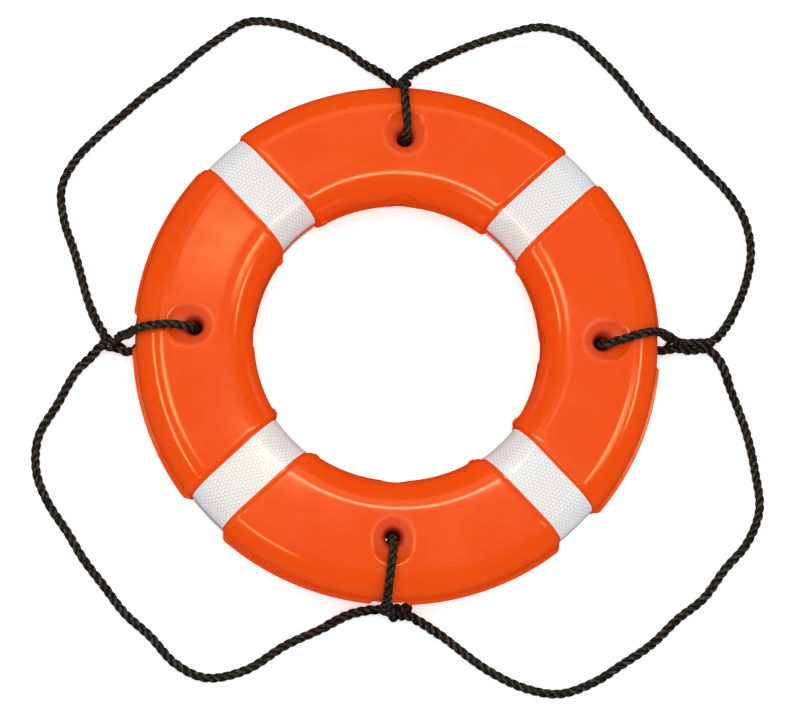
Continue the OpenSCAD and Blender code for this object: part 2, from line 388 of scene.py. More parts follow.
# ---- stage ----

FLOOR_HALF, FLOOR_CELLS = 6000.0, 24
FLOOR_DROP = 0.2      # distance of the floor below the back face, mm


def add_floor():
    steps = np.linspace(-FLOOR_HALF, FLOOR_HALF, FLOOR_CELLS + 1)
    points = [(x, y, -FLOOR_DROP) for y in steps for x in steps]
    row = FLOOR_CELLS + 1
    faces = [(r * row + c, r * row + c + 1, (r + 1) * row + c + 1, (r + 1) * row + c)
             for r in range(FLOOR_CELLS) for c in range(FLOOR_CELLS)]
    floor = new_mesh("floor", points, faces, sharp_deg=None)
    floor.data.materials.append(floor_material())
    # Reflected in the plastic, so large a white floor would veil its colour
    floor.visible_glossy = False


def softbox(name, azimuth, zenith, distance, width, height, brightness, colour=(1, 1, 1),
            glossy=True, diffuse=True):
    """An area light that looks at the ring from azimuth and zenith angles, in degrees.

    Distances are in metres. The width runs round the ring's axis, the height up and down.
    """
    a, z = math.radians(azimuth), math.radians(zenith)
    away = Vector((math.cos(a) * math.sin(z), math.sin(a) * math.sin(z), math.cos(z)))
    data = bpy.data.lights.new(name, "AREA")
    data.shape = "RECTANGLE"
    data.size, data.size_y = width, height
    data.color = colour
    data.energy = brightness * math.pi * width * height
    light = bpy.data.objects.new(name, data)
    bpy.context.scene.collection.objects.link(light)
    light.location = away * distance
    light.rotation_euler = away.to_track_quat("Z", "Y").to_euler()
    light.visible_glossy = glossy
    light.visible_diffuse = diffuse
    light.visible_camera = False


WORLD_STRENGTH = 0.60
WARM = (1.0, 0.82, 0.36)
PALE_WARM = (1.0, 0.88, 0.52)
BOX_DISTANCE = 2.6
# Boxes seen only as reflections along the ring's rounded corners: azimuth, zenith, width,
# height and brightness
BOXES = {
    "strip_left": (187, 51, 1.40, 0.16, 20),
    "strip_right": (4, 51, 0.70, 0.16, 20),
    "strip_low_left": (-127, 47, 0.65, 0.15, 17),
    "box_left": (170, 23, 0.55, 0.42, 11),
    "box_right": (0, 27, 0.55, 0.30, 13),
    "thin_right": (0, 36, 0.60, 0.08, 18),
    "box_far_left": (110, 17, 0.18, 0.12, 9),
    "box_far": (90, 33, 2.0, 0.8, 1.3),
}


def add_lights():
    world = bpy.data.worlds.new("studio")
    bpy.context.scene.world = world
    world.use_nodes = True
    background = world.node_tree.nodes["Background"]
    background.inputs["Color"].default_value = (1, 1, 1, 1)
    background.inputs["Strength"].default_value = WORLD_STRENGTH
    world.cycles_visibility.glossy = False
    # The even light that whitens the floor, without a reflection of its own
    softbox("overhead", 0, 0, 3.0, 3.5, 3.5, 1.40, glossy=False)
    # A small strip hung low over the opening, which the ring's inner corners mirror
    softbox("hung_strip", -90, 6, 0.54, 0.32, 0.06, 14, PALE_WARM, diffuse=False)
    for name, (azimuth, zenith, width, height, brightness) in BOXES.items():
        softbox(name, azimuth, zenith, BOX_DISTANCE, width, height, brightness, WARM,
                diffuse=False)


# ---- the shell ----

def smooth_step(x):
    x = np.clip(x, 0, 1)
    return x * x * (3 - 2 * x)


def smooth_min(a, b, k):
    """The lesser of a and b, with the edge between them rounded over k."""
    e = np.maximum(k - np.abs(a - b), 0) / k
    return np.minimum(a, b) - e ** 3 * k / 6


def arc(start, end, steps):
    """Even steps from one angle to another, in radians, without the first."""
    return [math.radians(start + (end - start) * i / steps) for i in range(1, steps + 1)]


# The seam flange's own section, as (radius, height) points, and the heights of the same
# points on the flat wall that it becomes where it is cut away
FLANGE = [(300.3, 5.3), (301.0, 5.0), (303.6, 5.0), (304.45, 4.65), (304.8, 3.8),
          (304.8, 0.8), (304.4, 0.0)]
FLANGE_FLAT_H = [5.6, 5.2, 4.6, 4.0, 3.4, 0.8, 0.0]


# The rows between which the grid makes room for a patch round each rope hole
PATCH_FROM, PATCH_TO = 209, 270


def section_rows():
    """Rows of the ring's half section: radius, height above the seam, outward direction."""
    rows = [(WALL_IN + (0.5 if h == 0 else 0), h, -1.0, 0.0)
            for h in (0, 0.8, 2, 3.5, 5, 6, 7, 8.5, 10)]
    rows += [(IN_MID - IN_CORNER * math.cos(a), IN_WALL_H + IN_CORNER * math.sin(a),
              -math.cos(a), math.sin(a)) for a in arc(0, 90, 24)]
    rows += [(r, MID, 0.0, 1.0) for r in (PATCH_FROM, *np.linspace(211.5, OUT_MID, 22))]
    rows += [(OUT_MID + OUT_CORNER * math.cos(a), OUT_WALL_H + OUT_CORNER * math.sin(a),
              math.cos(a), math.sin(a)) for a in arc(90, 0, 22)]
    rows += [(WALL_OUT, h, 1.0, 0.0) for h in (12, 9, 7, 6)]
    return np.array(rows)


# Distances to the side of a hole's radius, and of a band's, where the mesh has its columns
HOLE_COLUMNS = [0, 2, 4, 6, 8, 10, 12, 14, 16, 17.2, 18.2, 19.5, 21, 22, 23, 25, 27.5, 30]
BAND_END = 33.0       # half the distance between two segments, where their rounding starts
BAND_ROUND = 6.0
BAND_FLOOR = BAND_END - BAND_ROUND + 0.05
BAND_COLUMNS = [40, 38, 36, 34.5] + [
    BAND_END - BAND_ROUND * math.cos(math.radians(t)) for t in (90, 75, 60, 45, 30, 20, 11)
] + [27, 26, 23, 18, 12, 6, 0]
BETWEEN = 12          # columns between those of a hole and those of a band


def band_recess(side):
    """Depth of the tape's recess at a distance to the side of the band's middle."""
    turn = np.arccos(np.clip((BAND_END - side) / BAND_ROUND, 0, 1))
    rounded = BAND_DEPTH * (1 - np.sin(turn))
    return np.where(side >= BAND_END, 0, np.where(side > BAND_FLOOR, rounded, BAND_DEPTH))


# The flange curves away over this length before a band, and inward by this much
FLANGE_CURVE_FROM, FLANGE_CURVE, FLANGE_IN = 36.0, 9.0, 8.8
# The flange's notch at a rope hole: distances to the side, and its share of full size there
NOTCH_SIDE, NOTCH_SHARE = (0, 12, 15.5, 17.5, 22), (0.38, 0.36, 0.33, 0.1, 1.0)


def flange_share(hole_side, band_side, recess):
    """How far the flange stands out, from 0, flush with the wall, to 1."""
    near_band = np.clip((FLANGE_CURVE_FROM - band_side) / FLANGE_CURVE, 0, 1)
    rim = RIM - FLANGE_IN + FLANGE_IN * np.sqrt(1 - near_band ** 2)
    out = np.clip((rim - WALL_OUT + recess) / (RIM - WALL_OUT), 0, 1)
    share = np.where(band_side < BAND_FLOOR, 0, out)
    return np.minimum(share, np.interp(hole_side, NOTCH_SIDE, NOTCH_SHARE))


# The hollow in the inner wall below each rope hole, and the nubs beside each tape recess
SCALLOP_HALF, SCALLOP_TOP, SCALLOP_DEPTH = 20.0, 26.0, 1.5
NUB_SIDE, NUB_HALF, NUB_TOP, NUB_OUT = 35.0, 7.0, 7.0, 2.8
# The groove for the rope across the back, and the rounding of the edges that it makes
GROOVE_HALF, GROOVE_DEPTH, GROOVE_ROUND = 10.5, 12.5, 3.0
# The oval patch round a rope hole: its middle's radius, and its half length and half width
PATCH_POS, PATCH_LONG, PATCH_WIDE = 238.5, 25.0, 21.5
DISH_ROUND = 8.0
# The rounding of a hole's mouth, across and down, and how much more it has on the outer side
MOUTH_R, MOUTH_DEEP, MOUTH_MORE = 4.0, 13.0, 3.0
# The edge of a plug's seat, from outside in: distance outside the hole, and depth
SEAT_EDGE = [(2.2, 0), (0.9, 0), (0.55, 0.08), (0.22, 0.3), (0, 0.8), (0, 3.2)]


class ShellHalf:
    """One half of the shell: a grid of rows and columns, with a patch let in at each hole."""

    def __init__(self, is_front):
        self.is_front = is_front
        self.points, self.faces = [], []
        self.make_columns()
        self.make_grid()

    def make_columns(self):
        octant = [("hole", y) for y in HOLE_COLUMNS]
        octant += [("between", k / (BETWEEN + 1)) for k in range(1, BETWEEN + 1)]
        octant += [("band", y) for y in BAND_COLUMNS]
        # Columns go once round: up each octant and down its mirror image
        self.columns = []
        for quarter in range(4):
            self.columns += [(quarter * 90, 1, c) for c in octant]
            self.columns += [(quarter * 90 + 90, -1, c) for c in octant[-2:0:-1]]
        self.octant = len(octant)

    def angle(self, column, r):
        start, side, (kind, value) = column
        hole = np.arcsin(HOLE_COLUMNS[-1] / r)
        band = math.pi / 4 - np.arcsin(BAND_COLUMNS[0] / r)
        if kind == "hole":
            own = np.arcsin(value / r)
        elif kind == "band":
            own = math.pi / 4 - np.arcsin(value / r)
        else:
            own = hole + (band - hole) * value
        return math.radians(start) + side * own

    def make_grid(self):
        rows = section_rows()
        r0, h0, nr, nh = rows.T
        flange = np.array(FLANGE)
        flat_h = np.array(FLANGE_FLAT_H)
        n_rows = len(rows) + len(flange)
        grid = np.zeros((n_rows, len(self.columns), 3))
        reference_r = np.concatenate([r0, np.full(len(flange), WALL_OUT)])
        for j, column in enumerate(self.columns):
            angle = self.angle(column, reference_r)
            from_hole = np.abs((angle + math.pi / 4) % (math.pi / 2) - math.pi / 4)
            hole_side = reference_r * np.sin(from_hole)
            band_side = reference_r * np.sin(math.pi / 4 - from_hole)
            recess = band_recess(band_side)
            depth = recess[:len(rows)] + self.relief(r0, h0, hole_side[:len(rows)],
                                                     band_side[:len(rows)])
            r, h = r0 - depth * nr, h0 - depth * nh
            share = flange_share(hole_side[len(rows):], band_side[len(rows):],
                                 recess[len(rows):])
            wall_r = WALL_OUT - recess[len(rows):]
            fr = wall_r + share * (flange[:, 0] - WALL_OUT)
            fh = flat_h + share * (flange[:, 1] - flat_h)
            r, h = np.concatenate([r, fr]), np.concatenate([h, fh])
            if not self.is_front:
                h = self.cut_groove(r, h, hole_side)
            grid[:, j] = np.stack([r * np.cos(angle), r * np.sin(angle), h], axis=1)
        self.rows = r0
        self.grid_shape = grid.shape[:2]
        self.points = [*grid.reshape(-1, 3)]
        self.skip = set()

    def relief(self, r, h, hole_side, band_side):
        """Depth of the small moulded shapes on the inner wall: a scallop and the nubs."""
        inner = r < IN_MID
        bow = np.hypot(hole_side / SCALLOP_HALF, h / SCALLOP_TOP)
        scallop = SCALLOP_DEPTH * smooth_step((1.06 - bow) / 0.12) * inner
        nub = smooth_step(1.35 * (1 - np.abs(band_side - NUB_SIDE) / NUB_HALF))
        return scallop - NUB_OUT * (nub * smooth_step((NUB_TOP - h) / 3)) * inner

    def groove(self, side):
        """Height of the groove's floor, at a distance to the side of its middle."""
        across = np.clip(np.abs(side) / GROOVE_HALF, 0, 1)
        return MID - GROOVE_DEPTH * np.cos(across * math.pi / 2) ** 2

    def cut_groove(self, r, h, side):
        """The rope's groove across the back, outside the patch round the hole."""
        cut = smooth_min(h, self.groove(side), GROOVE_ROUND)
        return np.where((r > OUT_MID) & (r < WALL_OUT - 4) & (side < 12), cut, h)

    def index(self, i, j):
        return i * self.grid_shape[1] + j % self.grid_shape[1]

    def height(self, x, y):
        """Height of the shell's face round a rope hole, in the hole's own directions."""
        r = np.hypot(x, y)
        over = np.clip(r - OUT_MID, 0, OUT_CORNER)
        base = np.where(r > OUT_MID, OUT_WALL_H + np.sqrt(OUT_CORNER ** 2 - over ** 2), MID)
        along = x - np.clip(x, DISH_IN, DISH_OUT)
        out = np.minimum(np.hypot(along, y), DISH_R - 0.5)
        dish = MID + DISH_LIFT - np.sqrt(DISH_R ** 2 - out ** 2)
        made = smooth_min(base, dish, DISH_ROUND)
        if not self.is_front:
            # The groove starts at the hole, and is clear of the face on the hole's inner side
            clear = MID + 20
            outward = smooth_step((x - HOLE_POS) / HOLE_R)
            groove = clear - (clear - self.groove(y)) * outward
            made = smooth_min(made, groove, GROOVE_ROUND)
        return made

    def block(self, i0, i1, j0, j1):
        """Takes the cells of a block out of the grid, and returns the loop round it."""
        for i in range(i0, i1):
            for j in range(j0, j1):
                self.skip.add((i, j % self.grid_shape[1]))
        loop = [self.index(i0, j) for j in range(j0, j1)]
        loop += [self.index(i, j1) for i in range(i0, i1)]
        loop += [self.index(i1, j) for j in range(j1, j0, -1)]
        loop += [self.index(i, j0) for i in range(i1, i0, -1)]
        return loop

    def row_at(self, radius):
        return int(np.argmin(np.abs(self.rows - radius)))

    def add_face(self, a, b, c, d):
        self.faces.append((a, b, c, d) if self.is_front else (d, c, b, a))

    def add_ring(self, loop, x, y, h, angle):
        """A ring of points inside a loop, and the faces between.

        The points are given in the directions of the place on the ring at that angle.
        """
        c, s = math.cos(angle), math.sin(angle)
        first, n = len(self.points), len(loop)
        for px, py, ph in zip(x, y, np.broadcast_to(h, np.shape(x))):
            self.points.append(np.array([c * px - s * py, s * px + c * py, ph]))
        for k in range(n):
            m = (k + 1) % n
            self.add_face(loop[m], loop[k], first + k, first + m)
        return list(range(first, first + n))

    def local(self, loop, angle):
        """The points of a loop, in the directions of the place at that angle."""
        c, s = math.cos(angle), math.sin(angle)
        at = np.array([self.points[k] for k in loop])
        return at[:, 0] * c + at[:, 1] * s, at[:, 1] * c - at[:, 0] * s

    def rope_hole(self, quarter):
        """The dish, its rounded mouth and the hole down to the seam."""
        angle = math.radians(quarter * 90)
        middle = quarter * 2 * (self.octant - 1)
        half = len(HOLE_COLUMNS) - 1
        loop = self.block(self.row_at(PATCH_FROM), self.row_at(PATCH_TO),
                          middle - half, middle + half)
        cx, cy = self.local(loop, angle)
        way = np.arctan2(cy, cx - PATCH_POS)
        reach = 1 / np.hypot(np.cos(way) / PATCH_LONG, np.sin(way) / PATCH_WIDE)
        bx, by = PATCH_POS + reach * np.cos(way), reach * np.sin(way)
        ax, ay = HOLE_POS + HOLE_R * np.cos(way), HOLE_R * np.sin(way)
        # The mouth is rounded more on the side where the rope bends over it
        outward = smooth_step((np.cos(way) + 1) / 2)
        mouth, deep = MOUTH_R + MOUTH_MORE * outward, MOUTH_DEEP + MOUTH_MORE * outward
        for t in (0.3, 0.55, 0.75, 0.88, 0.95, 1):
            x, y = cx + (bx - cx) * t, cy + (by - cy) * t
            loop = self.add_ring(loop, x, y, self.height(x, y), angle)
        for t in (0.06, 0.12, 0.2, 0.3, 0.4, 0.5, 0.6, 0.7, 0.78, 0.86, 0.92, 0.965, 1):
            x, y = bx + (ax - bx) * t, by + (ay - by) * t
            away = np.hypot(x - HOLE_POS, y) - HOLE_R
            inside = np.clip((mouth - away) / mouth, 0, 1)
            drop = deep * (1 - np.sqrt(1 - inside ** 2))
            loop = self.add_ring(loop, x, y, self.height(x, y) - drop, angle)
        top = np.array([self.points[k][2] for k in loop])
        for t in (0.25, 0.5, 0.75, 1):
            loop = self.add_ring(loop, ax, ay, top * (1 - t), angle)

    def plug_seat(self, degrees_round, diameter):
        """A round hole with a rounded edge for a plug, let into the flat face."""
        angle = math.radians(degrees_round)
        reach = diameter / 2 + 6
        angles = np.array([self.angle(c, PLUG_POS) for c in self.columns])
        off = np.angle(np.exp(1j * (angles - angle))) * PLUG_POS
        j0 = int(np.argmin(np.abs(off + reach)))
        j1 = int(np.argmin(np.abs(off - reach)))
        j1 += len(self.columns) if j1 < j0 else 0
        loop = self.block(self.row_at(PLUG_POS - reach), self.row_at(PLUG_POS + reach), j0, j1)
        cx, cy = self.local(loop, angle)
        way = np.arctan2(cy, cx - PLUG_POS)
        radius = diameter / 2 + 0.25
        for grow, drop in SEAT_EDGE:
            x = PLUG_POS + (radius + grow) * np.cos(way)
            y = (radius + grow) * np.sin(way)
            loop = self.add_ring(loop, x, y, MID - drop, angle)

    def build(self, name):
        for quarter in range(4):
            self.rope_hole(quarter)
        if not self.is_front:
            self.plug_seat(FILL_ANGLE, FILL_D)
            self.plug_seat(VENT_ANGLE, VENT_D)
        for i in range(self.grid_shape[0] - 1):
            for j in range(self.grid_shape[1]):
                if (i, j) not in self.skip:
                    self.add_face(self.index(i, j), self.index(i + 1, j),
                                  self.index(i + 1, j + 1), self.index(i, j + 1))
        at = np.array(self.points)
        at[:, 2] = MID + at[:, 2] if self.is_front else MID - at[:, 2]
        piece = new_mesh(name, at, self.faces)
        solidify(piece, SHELL_T)
        return piece


PLUG_SIDES = 48


def lathe(name, profile, x, y):
    """A closed turned piece from (radius, height) points, from the middle of its bottom up."""
    points = []
    for r, h in profile:
        for k in range(PLUG_SIDES):
            a = 2 * math.pi * k / PLUG_SIDES
            points.append((x + r * math.cos(a), y + r * math.sin(a), h))
    return new_mesh(name, points, tube_faces(len(profile), PLUG_SIDES))


def add_plug(node, degrees_round, diameter, material):
    """A push-in plug, seen from behind: a chamfered cap with a raised ring and a dimple."""
    a = math.radians(degrees_round)
    r = diameter / 2
    # Heights are measured up from the back face, so the first points are what shows
    profile = [(0.08 * r, 1.1), (0.22 * r, 1.05), (0.3 * r, 0.75), (0.34 * r, 0.45),
               (0.62 * r, 0.4), (0.66 * r, 0.6), (0.7 * r, 0.95), (0.78 * r, 0.95),
               (0.82 * r, 0.6), (0.86 * r, 0.35), (r - 0.5, 0.3), (r - 0.15, 0.45),
               (r, 0.8), (r, 4.2), (r - 0.6, 4.6), (0.5 * r, 4.6)]
    plug = lathe(f"push_in_{node}", profile, PLUG_POS * math.cos(a), PLUG_POS * math.sin(a))
    finish_piece(plug, "plug", material, node)


# ---- the tape ----

def tape_path(depth):
    """The tape's line round the section: radius and height over the back face, in mm."""
    inner, outer = IN_CORNER - depth, OUT_CORNER - depth
    line = [(WALL_IN + depth, h) for h in np.linspace(TAPE_GAP_HALF, IN_WALL_H, 3)]
    line += [(IN_MID - inner * math.cos(a), IN_WALL_H + inner * math.sin(a))
             for a in arc(0, 90, 26)]
    line += [(r, MID - depth) for r in np.linspace(IN_MID, OUT_MID, 25)[1:]]
    line += [(OUT_MID + outer * math.cos(a), OUT_WALL_H + outer * math.sin(a))
             for a in arc(90, 0, 24)]
    line += [(WALL_OUT - depth, h) for h in np.linspace(OUT_WALL_H, 0, 8)[1:]]
    front = np.array(line)
    back = front[-2::-1] * [1, -1]
    return np.concatenate([front, back]) + [0, MID]


def add_tape(number, degrees_round, material):
    path = tape_path(BAND_DEPTH - TAPE_T)
    run = np.concatenate([[0], np.cumsum(np.linalg.norm(np.diff(path, axis=0), axis=1))])
    sides = [-TAPE_HALF, -24.6, -23.5, *np.arange(-22, 23, 2.0), 23.5, 24.6, TAPE_HALF]
    a = math.radians(degrees_round)
    points, uv = [], []
    for (r, z), along in zip(path, run):
        for y in sides:
            # On the flats, the strip's edges are turned down and it lifts a hair between them
            down = 0.18 * (abs(y) > 24.8) - 0.05 * math.cos(y / TAPE_HALF * math.pi / 2)
            flat = abs(z - MID) > 40
            x = math.sqrt(r * r - y * y)
            points.append((x * math.cos(a) - y * math.sin(a), x * math.sin(a) + y * math.cos(a),
                           z + down * flat * (-1 if z > MID else 1)))
            uv.append((y, along))
    n = len(sides)
    faces = [(i * n + j, (i + 1) * n + j, (i + 1) * n + j + 1, i * n + j + 1)
             for i in range(len(path) - 1) for j in range(n - 1)]
    corners = [uv[k] for face in faces for k in face]
    name = f"tape_strip_{number}"
    strip = new_mesh(name, points, faces, uvs=corners)
    solidify(strip, TAPE_T - 0.05)
    finish_piece(strip, "tape", material, f"reflective_tape_{number}")


# ---- the grab line ----

# The route over the ring at each hole: radius, share of the sway, share of the lean, height
OVER_RING = [
    (309, 1.0, 0, 64), (302, 0.9, 0.1, 84), (288, 0.7, 0.1, 101), (272, 0.45, 0.25, 106.5),
    (258, 0.2, 0.55, 105), (246, 0.1, 1, 99.5), (238.5, 0, 0.8, 94), (234, 0, 0.4, 86),
    (232.5, 0, 0.1, 74), (232, 0, 0, 50), (232.5, 0, 0, 26), (238.5, 0, 0, 11.5),
    (252, 0, 0, 5.5), (268, 0, 0, 5.5), (284, 0, 0, 5.5),
]
# At each hole: its angle, the sway and lean, and the route outside the rim before and after
WRAPS = {
    "right": (0, 17, -2.5,
              [(400, 60, 5), (390, 42, 7), (379, 28, 12), (365, 20, 18), (350, 19, 19),
               (338, 18, 21), (327, 18, 30), (317, 19, 45)],
              [(300, 8, 6), (316, 11, 8), (332, 13, 10), (348, 11, 10), (364, 14, 8),
               (378, 6, 8), (388, -10, 7), (395, -30, 5)]),
    "top": (90, 3.5, -2.5,
            [(355, -35, 5), (346, -20, 8), (335, -8, 14), (324, 0, 24), (315, 3, 42)],
            [(300, 0, 6), (312, 4, 8), (324, 12, 9), (336, 26, 8), (350, 50, 5)]),
    "left": (180, 6, 1,
             [(370, 40, 5), (356, 25, 7), (342, 12, 14), (329, 5, 24), (318, 4, 42)],
             [(298, 7, 6), (309, 15, 7), (323, 11, 8), (335, 2, 9), (346, -12, 8),
              (360, -40, 5)]),
    "bottom": (270, -5, 1,
               [(335, 65, 5), (327, 52, 6), (319, 38, 8), (314, 25, 12), (312, 12, 19),
                (311, 2, 29), (309, -3, 46)],
               [(300, 1, 6), (309, 4, 7), (317, 9, 8)]),
}
BOTTOM_TAIL = [(330, -75, 5), (321, -60, 6), (313, -44, 7), (308, -26, 8), (306, -8, 10),
               (307, 6, 12), (307, 16, 15), (303, 24, 20)]
# The four loops as they lie beside the ring, anticlockwise, between their hinge points
LOOP_Z = 5
LOOPS = {
    "upper_right": [
        (400, 60), (415, 100), (420, 140), (410, 180), (390, 210), (360, 240), (335, 265),
        (305, 290), (280, 320), (260, 345), (235, 370), (205, 395), (165, 405), (125, 395),
        (85, 380), (35, 355)],
    "upper_left": [
        (-50, 350), (-70, 365), (-105, 380), (-150, 395), (-190, 395), (-220, 375),
        (-250, 350), (-275, 325), (-305, 300), (-330, 275), (-360, 245), (-385, 215),
        (-400, 180), (-395, 140), (-380, 100), (-360, 40)],
    "lower_left": [
        (-370, -40), (-390, -80), (-410, -120), (-410, -160), (-395, -195), (-370, -230),
        (-350, -260), (-325, -290), (-300, -320), (-270, -345), (-240, -375), (-205, -390),
        (-160, -380), (-115, -350), (-75, -330)],
    "lower_right": [
        (65, -335), (115, -370), (160, -390), (200, -395), (240, -380), (270, -360),
        (305, -335), (335, -305), (365, -280), (390, -245), (415, -215), (430, -175),
        (425, -130), (415, -85), (395, -30)],
}
STEP = 1.6            # distance between the rings of a strand, mm
PITCH = 30.0          # length in which a strand goes once round the rope
LAY_STEP = 60         # length over which the lay's unevenness changes
STRAND_R = 2.65
STRAND_OFF = 2.75     # the strands' crowns stand half a millimetre outside the rope's own size
STRAND_SIDES = 10
SINK = 0.1            # depth to which the rope's lowest points may sink into the floor


def turned(points, angle):
    """Points turned round the ring's axis by an angle in degrees."""
    a = math.radians(angle)
    return [np.array([math.cos(a) * x - math.sin(a) * y, math.sin(a) * x + math.cos(a) * y, z])
            for x, y, z in points]


def wrap_points(name):
    angle, sway, lean, front, back = WRAPS[name]
    over = [(r, s * sway + m * lean, z) for r, s, m, z in OVER_RING]
    return turned([*front, *over, *back], angle)


def loop_points(name):
    return [np.array([x, y, LOOP_Z], float) for x, y in LOOPS[name]]


def between(t, low, high, a, b):
    """The point at t on the line that is at a when t is low, and at b when t is high."""
    return (high - t) / (high - low) * a + (t - low) / (high - low) * b


def curve_through(points):
    """A smooth line through the points, in even steps.

    Returns the line, its length up to each step, and its length up to each of the points.
    """
    route = np.array(points, float)
    fine, marks = [], []
    padded = np.vstack([2 * route[0] - route[1], route, 2 * route[-1] - route[-2]])
    for i in range(len(route) - 1):
        p0, p1, p2, p3 = padded[i:i + 4]
        t0 = 0.0
        t1 = t0 + np.linalg.norm(p1 - p0) ** 0.5
        t2 = t1 + np.linalg.norm(p2 - p1) ** 0.5
        t3 = t2 + np.linalg.norm(p3 - p2) ** 0.5
        marks.append(len(fine))
        for t in np.linspace(t1, t2, 40, endpoint=False):
            a1, a2 = between(t, t0, t1, p0, p1), between(t, t1, t2, p1, p2)
            a3 = between(t, t2, t3, p2, p3)
            b1, b2 = between(t, t0, t2, a1, a2), between(t, t1, t3, a2, a3)
            fine.append(between(t, t1, t2, b1, b2))
    marks.append(len(fine))
    fine.append(route[-1])
    fine = np.array(fine)
    run = np.concatenate([[0], np.cumsum(np.linalg.norm(np.diff(fine, axis=0), axis=1))])
    places = run[marks]
    count = int(round(run[-1] / STEP))
    even = np.linspace(0, run[-1], count + 1)
    line = np.stack([np.interp(even, run, fine[:, k]) for k in range(3)], axis=1)
    return line, even, places


def tangents(line):
    t = np.gradient(line, axis=0)
    return t / np.linalg.norm(t, axis=1)[:, None]


def carried_frames(line):
    """Two directions across the line, carried along it without a twist."""
    along = tangents(line)
    side = np.zeros_like(line)
    now = np.array([0.0, 0.0, 1.0])
    for i, t in enumerate(along):
        now = now - now.dot(t) * t
        now /= np.linalg.norm(now)
        side[i] = now
    return side, np.cross(along, side)


def whole_line():
    """The rope's middle line from its tail to its other end, and where each piece of it is."""
    tail = turned(BOTTOM_TAIL, 270)[::-1]
    parts = [("tail", tail)]
    for loop, wrap in (("lower_left", "left"), ("upper_left", "top"), ("upper_right", "right"),
                       ("lower_right", "bottom")):
        parts.append((loop, loop_points(loop)[::-1]))
        points = wrap_points(wrap)
        parts.append((wrap, points[::-1] if wrap == "top" else points))
    points, spans = [], {}
    for name, own in parts:
        first = len(points) - 1 if points else 0
        points += own if not points else own[1:]
        spans[name] = (first, len(points) - 1)
    line, even, places = curve_through(points)
    line[:, 2] = np.maximum(line[:, 2], STRAND_OFF + STRAND_R - SINK)
    where = {}
    for name, (a, b) in spans.items():
        where[name] = (int(round(places[a] / even[1])), int(round(places[b] / even[1])))
    return line, even, where


def strands_of(line, even):
    """The middle lines of the rope's three strands, and their directions out from the rope's."""
    side, across = carried_frames(line)
    # The lay is a little uneven, as on a rope that has been handled
    wobble = np.interp(even, np.arange(0, even[-1] + LAY_STEP, LAY_STEP),
                       rng.normal(0, 0.25, int(even[-1] // LAY_STEP) + 2))
    turn = 2 * math.pi * even / PITCH + wobble
    outward = []
    for k in range(3):
        a = turn + 2 * math.pi * k / 3
        outward.append(np.cos(a)[:, None] * side + np.sin(a)[:, None] * across)
    outward = np.array(outward)
    return line + STRAND_OFF * outward, outward


def runs_of(indices):
    """The unbroken runs in a rising list of indices."""
    cuts = np.flatnonzero(np.diff(indices) > 1) + 1
    return np.split(np.asarray(indices), cuts)


def evened(values, times):
    """Values along their second-last axis, each evened out with its neighbours."""
    for _ in range(times):
        inner = (values[..., :-2, :] + 2 * values[..., 1:-1, :] + values[..., 2:, :]) / 4
        values = np.concatenate([values[..., :1, :], inner, values[..., -1:, :]], axis=-2)
    return values


GATHER_REACH = 20.0   # ropes nearer to each other than this are drawn together at a tuck
GATHER_SOFT = 8.0     # length over which the drawing together sets in
GATHER = 0.5          # share of the distance between them that is closed
FADE = 9              # steps over which a tuck's changes fade out at its ends
OWN_STEPS = 8         # steps along a strand that don't push each other
ROUNDS = 70           # times that the strands push each other apart
PUSH = 0.35           # share of an overlap that one round takes away from each side
# Where one strand is pulled out of the lay at a tuck: the place, the pull and its half length
OPENED = [((322, 18, 38), (-3, -3, -13), 24), ((-331, -4, 22), (3, -5, -9), 22),
          ((4, 316, 30), (6, -2, 0), 14)]


def open_lay(line, strands, outward):
    """Pulls a strand out of the lay at each opened place: the one on the side of the pull."""
    for place, pull, half in OPENED:
        at = int(np.argmin(np.linalg.norm(line - place, axis=1)))
        k = int(np.argmax(outward[:, at] @ np.array(pull)))
        reach = int(half / STEP)
        share = np.cos(np.linspace(-1, 1, 2 * reach + 1) * math.pi / 2) ** 2
        strands[k, at - reach:at + reach + 1] += share[:, None] * pull
    return strands


